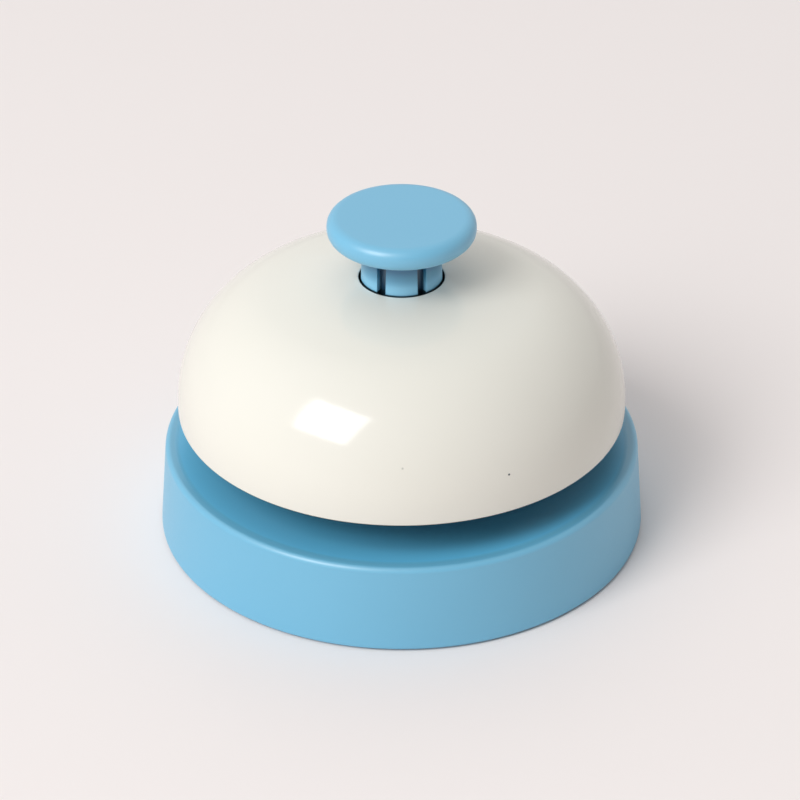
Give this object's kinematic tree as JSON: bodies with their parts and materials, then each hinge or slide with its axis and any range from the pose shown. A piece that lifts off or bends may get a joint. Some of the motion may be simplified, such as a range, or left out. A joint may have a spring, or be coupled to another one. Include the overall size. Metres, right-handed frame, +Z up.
{
  "type": "pushbutton counter bell",
  "caption": "Counter bell with a dished round plastic base, a painted steel bell on a central pillar, and a sprung push button whose pin rocks a striker up against the bell.",
  "frame": {"origin": "on the table under the bell's axis, at the bottom of the rubber feet", "axes": "+Z is up along the button's travel; +Y points to the back, where the striker lies; +X is to the right seen from the front"},
  "size_m": [0.0842, 0.0842, 0.0595],
  "materials": {
    "blue_plastic": "satin moulded ABS, light blue",
    "ivory_enamel": "glossy ivory stove enamel on steel sheet",
    "bright_steel": "bright zinc plate",
    "spring_steel": "drawn spring steel",
    "black_rubber": "matt moulded rubber",
    "bush_brass": "turned brass"
  },
  "bodies": {
    "base": {"base_shell": "blue_plastic", "bottom_cover": "blue_plastic", "cover_screws": "bright_steel", "foot_pads": "black_rubber", "pillar": "blue_plastic", "flange_screws": "bright_steel", "bell_washer": "black_rubber", "bell_dome": "ivory_enamel", "pivot_pin": "bright_steel", "pivot_clips": "spring_steel", "return_spring": "spring_steel"},
    "button": {"button": "blue_plastic", "plunger_pin": "bright_steel"},
    "striker": {"striker_lever": "bright_steel", "striker_head": "bright_steel", "pivot_bush": "bush_brass"}
  },
  "joints": [
    {"name": "button_press", "type": "slide", "parent": "base", "child": "button", "axis": [0, 0, -1], "range_m": [0, 0.004], "stiffness_N_per_m": 250, "springref_m": -0.004, "deforming": ["return_spring"]},
    {"name": "striker_swing", "type": "hinge", "parent": "base", "child": "striker", "pos_m": [0, 0.0135, 0.02739], "axis": [1, 0, 0], "range_deg": [0, 16.9]}
  ],
  "couplings": [
    {"joint": "striker_swing", "follows": "button_press", "rad_per_m": 73.704}
  ]
}
